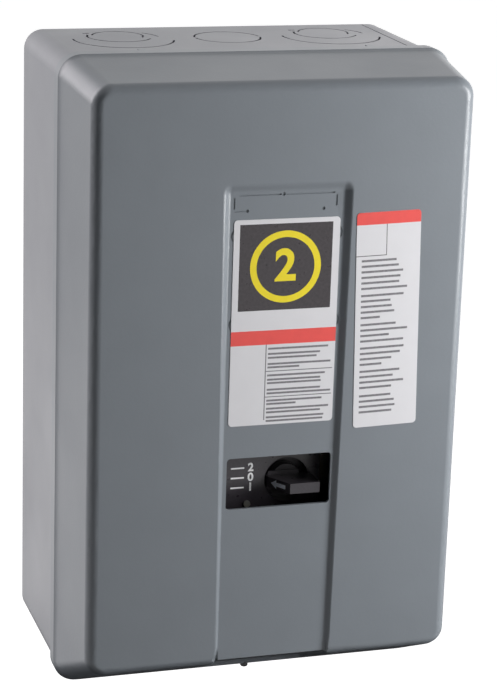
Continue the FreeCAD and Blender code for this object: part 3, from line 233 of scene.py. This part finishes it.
looks = {
    "case_enamel": {"colour": (0.225, 0.234, 0.258), "rough": 0.4, "grain": (0.02, 0.025),
                    "bump": (0.0013, 0.00003)},
    "cover_enamel": {"colour": (0.188, 0.209, 0.232), "rough": 0.38, "grain": (0.02, 0.025),
                     "bump": (0.0013, 0.00003)},
    "white_label": {"colour": (0.72, 0.715, 0.74), "rough": 0.35, "grain": (0.006, 0.012),
                    "coat": 0.2},
    "zinc_steel": {"colour": (0.62, 0.61, 0.56), "rough": 0.34, "metal": 1.0,
                   "grain": (0.0035, 0.14), "bump": (0.0008, 0.00001), "tint": (0.66, 0.6, 0.42)},
    "black_steel": {"colour": (0.035, 0.035, 0.037), "rough": 0.38, "metal": 0.6,
                    "grain": (0.0015, 0.2)},
    "black_moulding": {"colour": (0.022, 0.021, 0.022), "rough": 0.42, "grain": (0.0012, 0.25),
                       "bump": (0.0005, 0.00002), "specks": 0.0006},
    "selector_moulding": {"colour": (0.034, 0.03, 0.036), "rough": 0.3, "grain": (0.0012, 0.15),
                          "bump": (0.0005, 0.00002)},
    "arrow_paint": {"colour": (0.82, 0.87, 0.95), "rough": 0.5, "grain": (0.0008, 0.05)},
    "copper": {"colour": (0.78, 0.4, 0.24), "rough": 0.28, "metal": 1.0, "grain": (0.002, 0.16),
               "pull": (1, 1, 0.08), "tint": (0.5, 0.24, 0.14)},
    "heater_metal": {"colour": (0.66, 0.55, 0.34), "rough": 0.33, "metal": 1.0,
                     "grain": (0.002, 0.16), "pull": (0.1, 1, 1)},
    "laminations": {"colour": (0.34, 0.33, 0.32), "rough": 0.36, "metal": 0.9,
                    "grain": (0.001, 0.2), "bands": ("X", 0.0011, 0.45)},
    "coil_wrap": {"colour": (0.26, 0.1, 0.03), "rough": 0.32, "grain": (0.002, 0.2), "coat": 0.4,
                  "bands": ("Z", 0.0009, 0.5)},
    "bobbin_nylon": {"colour": (0.72, 0.66, 0.52), "rough": 0.45, "grain": (0.003, 0.06),
                     "bump": (0.0008, 0.00001)},
    "rubber_pad": {"colour": (0.02, 0.02, 0.02), "rough": 0.8, "grain": (0.001, 0.2),
                   "bump": (0.0004, 0.00003)},
    "spring_steel": {"colour": (0.56, 0.56, 0.57), "rough": 0.26, "metal": 1.0,
                     "grain": (0.0015, 0.12), "pull": (0.2, 1, 1)},
    "reset_red": {"colour": (0.5, 0.018, 0.014), "rough": 0.32, "grain": (0.0015, 0.08),
                  "bump": (0.0006, 0.00001)},
    "plunger_white": {"colour": (0.8, 0.79, 0.73), "rough": 0.38, "grain": (0.0015, 0.04)},
    "wire_red": {"colour": (0.45, 0.02, 0.018), "rough": 0.42, "grain": (0.001, 0.1),
                 "bump": (0.0006, 0.00002)},
    "wire_black": {"colour": (0.018, 0.018, 0.019), "rough": 0.42, "grain": (0.001, 0.2),
                   "bump": (0.0006, 0.00002)},
    "ink_black": {"colour": (0.03, 0.024, 0.028), "rough": 0.3, "grain": (0.0012, 0.35),
                  "coat": 0.2},
    "ink_red": {"colour": (0.8, 0.085, 0.075), "rough": 0.35, "grain": (0.004, 0.03),
                "coat": 0.2},
    "ink_yellow": {"colour": (0.88, 0.72, 0.02), "rough": 0.35, "grain": (0.002, 0.03),
                   "coat": 0.2},
    "ink_grey": {"colour": (0.19, 0.185, 0.2), "rough": 0.4, "grain": (0.0005, 0.35)},
    "legend_white": {"colour": (0.95, 0.95, 0.96), "rough": 0.4, "grain": (0.0006, 0.05)},
}


noiseSpan = (0.3, 0.7)      # nearly all of the noise lies between these
bandRise = 0.0002           # metres, of the ridges that bands make
blur = {
    "coat": 0.2,            # roughness of every coat
    "wear": 0.1,            # roughness varies by this share either way
    "wearSize": 2.5,        # in grains
    "stain": 0.7,           # the most that a tint covers
    "stainSize": 3,
}


def noiseFrom(nodes, links, vector, size, detail):
    noise = nodes.new("ShaderNodeTexNoise")
    noise.inputs["Scale"].default_value = 1 / size
    noise.inputs["Detail"].default_value = detail
    links.new(vector, noise.inputs["Vector"])
    return noise.outputs["Fac"]


def spreadTo(nodes, links, value, low, high):
    ramp = nodes.new("ShaderNodeMapRange")
    ramp.inputs["From Min"].default_value = noiseSpan[0]
    ramp.inputs["From Max"].default_value = noiseSpan[1]
    ramp.inputs["To Min"].default_value = low
    ramp.inputs["To Max"].default_value = high
    links.new(value, ramp.inputs["Value"])
    return ramp.outputs["Result"]


def times(nodes, links, first, second):
    node = nodes.new("ShaderNodeMath")
    node.operation = "MULTIPLY"
    links.new(first, node.inputs[0])
    links.new(second, node.inputs[1])
    return node.outputs[0]


def bandShade(nodes, links, place, bands):
    axis, pitch, depth = bands
    period = 0.314      # of a wave whose scale is one
    wave = nodes.new("ShaderNodeTexWave")
    wave.bands_direction = axis
    wave.inputs["Scale"].default_value = period / pitch
    wave.inputs["Distortion"].default_value = 0.4
    wave.inputs["Detail Scale"].default_value = 2.0
    links.new(place, wave.inputs["Vector"])
    ramp = nodes.new("ShaderNodeMapRange")
    ramp.inputs["To Min"].default_value = 1 - depth
    ramp.inputs["To Max"].default_value = 1.0
    links.new(wave.outputs["Fac"], ramp.inputs["Value"])
    return ramp.outputs["Result"], wave.outputs["Fac"]


def speckShade(nodes, links, place, size):
    core, rim, lighter = 0.03, 0.06, 1.5      # radii in cells, and how much lighter a speck is
    cells = nodes.new("ShaderNodeTexVoronoi")
    cells.inputs["Scale"].default_value = 2 * rim / size
    links.new(place, cells.inputs["Vector"])
    dot = nodes.new("ShaderNodeMapRange")
    dot.inputs["From Min"].default_value = core
    dot.inputs["From Max"].default_value = rim
    dot.inputs["To Min"].default_value = lighter
    dot.inputs["To Max"].default_value = 1.0
    links.new(cells.outputs["Distance"], dot.inputs["Value"])
    return dot.outputs["Result"]


def paint(name, look):
    material = bpy.data.materials.new(name)
    material.use_nodes = True
    nodes = material.node_tree.nodes
    links = material.node_tree.links
    shader = nodes["Principled BSDF"]
    shader.inputs["Metallic"].default_value = look.get("metal", 0.0)
    shader.inputs["Coat Weight"].default_value = look.get("coat", 0.0)
    shader.inputs["Coat Roughness"].default_value = blur["coat"]
    place = nodes.new("ShaderNodeTexCoord").outputs["Object"]
    grainPlace = place
    if "pull" in look:
        pulled = nodes.new("ShaderNodeMapping")
        pulled.inputs["Scale"].default_value = look["pull"]
        links.new(place, pulled.inputs["Vector"])
        grainPlace = pulled.outputs["Vector"]
    size, spread = look["grain"]
    grain = noiseFrom(nodes, links, grainPlace, size, 4)
    shadeBy = spreadTo(nodes, links, grain, 1 - spread, 1 + spread)
    height = None
    if "bands" in look:
        bandBy, height = bandShade(nodes, links, place, look["bands"])
        shadeBy = times(nodes, links, shadeBy, bandBy)
    if "specks" in look:
        shadeBy = times(nodes, links, shadeBy, speckShade(nodes, links, place, look["specks"]))
    shade = nodes.new("ShaderNodeVectorMath")
    shade.operation = "SCALE"
    shade.inputs[0].default_value = look["colour"]
    links.new(shadeBy, shade.inputs["Scale"])
    if "tint" in look:
        stain = nodes.new("ShaderNodeMix")
        stain.data_type = "RGBA"
        cloud = noiseFrom(nodes, links, place, size * blur["stainSize"], 2)
        links.new(spreadTo(nodes, links, cloud, 0.0, blur["stain"]), stain.inputs["Factor"])
        stain.inputs["B"].default_value = (*look["tint"], 1)
        links.new(shade.outputs[0], stain.inputs["A"])
        links.new(stain.outputs["Result"], shader.inputs["Base Color"])
    else:
        links.new(shade.outputs[0], shader.inputs["Base Color"])
    wearBy = noiseFrom(nodes, links, place, size * blur["wearSize"], 3)
    smooth = look["rough"] * (1 - blur["wear"])
    dull = look["rough"] * (1 + blur["wear"])
    links.new(spreadTo(nodes, links, wearBy, smooth, dull), shader.inputs["Roughness"])
    rise = bandRise
    if height is None and "bump" in look:
        bumpSize, rise = look["bump"]
        height = noiseFrom(nodes, links, place, bumpSize, 2)
    if height is not None:
        push = nodes.new("ShaderNodeBump")
        push.inputs["Distance"].default_value = rise
        links.new(height, push.inputs["Height"])
        links.new(push.outputs["Normal"], shader.inputs["Normal"])
    return material


finishes = {name: paint(name.replace("_", ""), look) for name, look in looks.items()}


def dressNodes():
    for part in frame["record"]["subparts"]:
        node = frame["nodes"][part["node"]]
        finish = finishes[part["material_slot"]]
        if not node.material_slots:
            node.data.materials.append(finish)
        for place in node.material_slots:
            place.material = finish


dressNodes()
print("finishes on")


# pieces share one way of becoming an object that rides on a body

def newPiece(name, shape, materials, body):
    mesh = bpy.data.meshes.new(name)
    shape.to_mesh(mesh)
    shape.free()
    for material in materials:
        mesh.materials.append(material)
    piece = bpy.data.objects.new(name, mesh)
    bpy.context.scene.collection.objects.link(piece)
    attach(piece, body)
    return piece


# the cover again, with the edges of its pressed channel drawn soft, in millimetres

coverPress = {
    "left": -22.9,       # the flat floor of the channel
    "right": 25.5,
    "top": 88.6,
    "depth": 1.8,
    "run": 4.1,          # from the floor out to the front, at the top of the sides
    "lowRun": 1.9,       # and at their foot
    "topRun": 4.6,
    "steps": 9,
    "fadeFrom": -111.0,  # down here the press runs out into the bottom edge
    "fadeTo": -113.5,
    "slack": 0.02,       # past the floor, still taken as the channel's
    "reach": 1.01,       # of the run, corners up to here are moved
    "facing": 0.3,       # of a face's normal that has to point forward
    "flat": 0.05,        # degrees, flatter edges are dissolved
    "sharp": 28.0,       # degrees, steeper edges stay sharp
}


def channelShare(spot):
    across = max(coverPress["left"] - spot.x * 1000, spot.x * 1000 - coverPress["right"], 0.0)
    above = max(spot.z * 1000 - coverPress["top"], 0.0)
    up = (spot.z * 1000 - coverPress["fadeTo"]) / (coverPress["top"] - coverPress["fadeTo"])
    run = coverPress["lowRun"] + (coverPress["run"] - coverPress["lowRun"]) * min(max(up, 0.0), 1.0)
    return math.hypot(across / run, above / coverPress["topRun"])


def frontFaces(shape, front):
    floor = front + (coverPress["depth"] + coverPress["slack"]) / 1000
    low = coverPress["fadeTo"] / 1000
    return [face for face in shape.faces
            if face.normal.y < -coverPress["facing"]
            and all(vert.co.y < floor for vert in face.verts)
            and max(vert.co.z for vert in face.verts) > low]


def cutFront(shape, front, spot, normal, flanksOnly=False):
    faces = frontFaces(shape, front)
    if flanksOnly:
        faces = [face for face in faces if channelShare(face.calc_center_median()) > 0]
    edges = {edge for face in faces for edge in face.edges}
    verts = {vert for face in faces for vert in face.verts}
    bmesh.ops.bisect_plane(shape, geom=faces + list(edges) + list(verts), dist=onPlane,
                           plane_co=spot, plane_no=normal)


def pressCover():
    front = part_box("cover_shell")[0].y
    shape = bmesh.new()
    shape.from_mesh(frame["nodes"]["cover_shell"].data)
    bmesh.ops.remove_doubles(shape, verts=shape.verts, dist=weld)
    bmesh.ops.dissolve_limit(shape, angle_limit=math.radians(coverPress["flat"]),
                             verts=shape.verts[:], edges=shape.edges[:],
                             use_dissolve_boundaries=False)
    for step in range(coverPress["steps"] + 1):
        out = step / coverPress["steps"]
        tall = coverPress["top"] - coverPress["fadeTo"]
        lean = (coverPress["run"] - coverPress["lowRun"]) * out / tall
        for start, side in ((coverPress["left"], -1), (coverPress["right"], 1)):
            x = start + side * coverPress["run"] * out
            cutFront(shape, front, (x / 1000, 0, coverPress["top"] / 1000), (1, 0, -side * lean))
        z = coverPress["top"] + coverPress["topRun"] * out
        cutFront(shape, front, (0, 0, z / 1000), (0, 0, 1))
    cutFront(shape, front, (0, 0, coverPress["fadeFrom"] / 1000), (0, 0, 1), flanksOnly=True)
    fade = (coverPress["fadeFrom"] - coverPress["fadeTo"]) / 1000
    floor = front + coverPress["depth"] / 1000
    for vert in {vert for face in frontFaces(shape, front) for vert in face.verts}:
        hold = min(max((vert.co.z - coverPress["fadeTo"] / 1000) / fade, 0.0), 1.0)
        share = channelShare(vert.co)
        if hold > 0 and share < coverPress["reach"]:
            share = min(share, 1.0)
            rise = coverPress["depth"] / 1000 * share * share * (3 - 2 * share)
            vert.co.y += (floor - rise - vert.co.y) * hold
    for face in shape.faces:
        face.smooth = True
    piece = newPiece("pressed_cover", shape, [finishes["cover_enamel"]], "cover")
    piece.data.set_sharp_from_angle(angle=math.radians(coverPress["sharp"]))
    shading = piece.modifiers.new("evenShading", "WEIGHTED_NORMAL")
    shading.keep_sharp = True
    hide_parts("cover_shell")
    print("cover pressed:", len(piece.data.polygons), "faces")


pressCover()


# printed labels, in millimetres from each label's top left corner: patches as left, right, top and
# bottom, lines as (top, length), tilt in degrees

centrePrint = {
    "tilt": 0.0,
    "inks": ("white_label", "ink_black", "ink_red", "ink_grey"),
    "black": [(2.6, 42.9, 2.0, 38.9)],
    "red": [(0.0, 46.0, 47.6, 53.8)],
    "rules": [(15.3, 15.75, 53.8, 86.9), (15.75, 45.0, 65.3, 65.7), (15.75, 45.0, 76.6, 77.0)],
    "lines": [(55.2, 26.5), (57.5, 23.0), (59.2, 21.5), (61.9, 27.8), (63.4, 14.0),
              (66.9, 25.5), (68.8, 23.5), (70.3, 23.8), (73.2, 23.6), (74.8, 28.2),
              (78.0, 24.5), (79.5, 13.0), (81.6, 27.6), (83.2, 24.0), (85.4, 25.6), (87.0, 25.2)],
    "lineLeft": 16.4,
    "lineHeight": 0.85,
}

sidePrint = {
    "tilt": 1.5,
    "inks": ("white_label", "ink_black", "ink_red", "ink_grey"),
    "black": [(0.0, 13.2, 18.5, 18.8), (13.2, 13.5, 5.3, 18.8)],
    "red": [(0.0, 28.4, 0.0, 5.3)],
    "rules": [],
    "lines": [(20.3, 15.5), (22.7, 16.5), (25.1, 18.5), (27.5, 17.4), (29.9, 16.9), (32.3, 20.5),
              (35.4, 19.0), (37.8, 13.2), (40.2, 13.8), (42.6, 15.0), (45.0, 8.6),
              (48.1, 15.8), (50.5, 21.0), (52.9, 12.8), (55.3, 19.3),
              (58.4, 19.6), (60.8, 18.0), (63.2, 14.2), (65.6, 9.8),
              (68.7, 18.0), (71.1, 15.0), (73.5, 19.8), (75.9, 14.4),
              (79.6, 14.2), (82.0, 15.8), (84.4, 16.2), (86.8, 14.8)],
    "lineLeft": 2.4,
    "lineHeight": 0.95,
}


def cutAcross(shape, spot, normal):
    everything = shape.verts[:] + shape.edges[:] + shape.faces[:]
    bmesh.ops.bisect_plane(shape, geom=everything, dist=onPlane, plane_co=spot, plane_no=normal)


def printLabel(node, spec):
    low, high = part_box(node)
    middle = (low + high) / 2
    upright = Matrix.Translation(middle) @ Matrix.Rotation(math.radians(spec["tilt"]), 4, "Y") \
        @ Matrix.Translation(-middle)
    shape = bmesh.new()
    shape.from_mesh(frame["nodes"][node].data)
    bmesh.ops.remove_doubles(shape, verts=shape.verts, dist=weld)
    bmesh.ops.transform(shape, matrix=upright, verts=shape.verts)
    left = min(v.co.x for v in shape.verts)
    top = max(v.co.z for v in shape.verts)
    patches = [(patch, 1) for patch in spec["black"]] + [(patch, 2) for patch in spec["red"]]
    patches += [(patch, 3) for patch in spec["rules"]]
    start = spec["lineLeft"]
    for drop, length in spec["lines"]:
        patches.append(((start, start + length, drop, drop + spec["lineHeight"]), 3))
    boxes = [(left + a / 1000, left + b / 1000, top - d / 1000, top - c / 1000, ink)
             for (a, b, c, d), ink in patches]
    for x in sorted({edge for box in boxes for edge in box[:2]}):
        cutAcross(shape, (x, 0, 0), (1, 0, 0))
    for z in sorted({edge for box in boxes for edge in box[2:4]}):
        cutAcross(shape, (0, 0, z), (0, 0, 1))
    for face in shape.faces:
        at = face.calc_center_median()
        for x0, x1, z0, z1, ink in boxes:
            if x0 < at.x < x1 and z0 < at.z < z1:
                face.material_index = ink
    bmesh.ops.transform(shape, matrix=upright.inverted(), verts=shape.verts)
    inks = [finishes[ink] for ink in spec["inks"]]
    piece = newPiece(node + "_printed", shape, inks, "cover")
    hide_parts(node)


printLabel("centre_label", centrePrint)
printLabel("side_label", sidePrint)
print("labels printed")


# raised prints: a plain ring and a numeral on the black field, numerals on the legend

emblem = {
    "outer": 15.4,
    "inner": 12.6,
    "sides": 96,
    "numeral": "2",
    "height": 13.5,
    "heavy": 0.55,
    "thick": 0.03,
}

legend = {
    "rows": (("2", -0.5), ("0", -4.95), ("1", -9.4)),
    "height": 3.7,
    "heavy": 0.16,
    "dash": 6.0,
    "dashHeight": 0.7,
    "dashRound": 0.3,       # corner radius, as a share of the dash's height
    "toNumeral": 2.9,       # from a dash's end to its numeral's middle
    "left": 10.8,
    "thick": 0.04,
}
numeralShare = 0.72         # of a font's size, the height of its numerals


def frontText(name, words, height, heavy, thick, x, y, z, finish, body):
    curve = bpy.data.curves.new(name, "FONT")
    curve.body = words
    curve.size = height / numeralShare / 1000
    curve.align_x = "CENTER"
    curve.align_y = "CENTER"
    curve.offset = heavy / 1000
    curve.extrude = thick / 1000
    curve.fill_mode = "BOTH"
    holder = bpy.data.objects.new(name + "_curve", curve)
    bpy.context.scene.collection.objects.link(holder)
    bpy.context.view_layer.update()
    mesh = bpy.data.meshes.new_from_object(holder)
    bpy.data.objects.remove(holder)
    shape = bmesh.new()
    shape.from_mesh(mesh)
    bpy.data.meshes.remove(mesh)
    bmesh.ops.remove_doubles(shape, verts=shape.verts, dist=onPlane)
    turn = Matrix.Translation((x, y, z)) @ Matrix.Rotation(math.radians(90), 4, "X")
    bmesh.ops.transform(shape, matrix=turn, verts=shape.verts)
    newPiece(name, shape, [finish], body)


def frontBar(name, width, height, thick, x, y, z, finish, body):
    shape = bmesh.new()
    bmesh.ops.create_cube(shape, size=1.0)
    bmesh.ops.scale(shape, vec=(width / 1000, thick / 1000, height / 1000), verts=shape.verts)
    upright = [edge for edge in shape.edges if abs(edge.verts[0].co.y - edge.verts[1].co.y) > weld]
    bmesh.ops.bevel(shape, geom=upright, offset=legend["dashRound"] * min(width, height) / 1000,
                    affect="EDGES", segments=3, profile=0.5, material=-1)
    bmesh.ops.translate(shape, vec=(x, y, z), verts=shape.verts)
    newPiece(name, shape, [finish], body)


def printEmblem():
    low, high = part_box("centre_label")
    panel = centrePrint["black"][0]
    x = low.x + (panel[0] + panel[1]) / 2000
    z = high.z - (panel[2] + panel[3]) / 2000
    thick = emblem["thick"] / 1000
    ring = bmesh.new()
    bmesh.ops.create_circle(ring, cap_ends=False, segments=emblem["sides"],
                            radius=emblem["outer"] / 1000)
    made = bmesh.ops.extrude_edge_only(ring, edges=ring.edges[:])
    inside = [v for v in made["geom"] if isinstance(v, bmesh.types.BMVert)]
    shrink = emblem["inner"] / emblem["outer"]
    bmesh.ops.scale(ring, vec=(shrink, shrink, 1), verts=inside)
    bmesh.ops.solidify(ring, geom=ring.faces[:], thickness=thick)
    turn = Matrix.Translation((x, low.y - thick / 2, z)) @ Matrix.Rotation(math.radians(90), 4, "X")
    bmesh.ops.transform(ring, matrix=turn, verts=ring.verts)
    bmesh.ops.recalc_face_normals(ring, faces=ring.faces)
    newPiece("label_ring", ring, [finishes["ink_yellow"]], "cover")
    frontText("label_numeral", emblem["numeral"], emblem["height"], emblem["heavy"],
              emblem["thick"] / 2, x, low.y - thick / 2, z, finishes["ink_yellow"], "cover")


def printLegend():
    low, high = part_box("legend_plate")
    y = low.y - legend["thick"] / 2000
    middle = (low.z + high.z) / 2
    left = low.x + legend["left"] / 1000
    white = finishes["legend_white"]
    for row, (words, rise) in enumerate(legend["rows"]):
        z = middle + rise / 1000
        frontBar(f"legend_dash_{row}", legend["dash"], legend["dashHeight"], legend["thick"],
                 left + legend["dash"] / 2000, y, z, white, "case")
        frontText(f"legend_numeral_{row}", words, legend["height"], legend["heavy"],
                  legend["thick"] / 2, left + (legend["dash"] + legend["toNumeral"]) / 1000, y, z,
                  white, "case")


printEmblem()
printLegend()
print("legend and emblem printed")
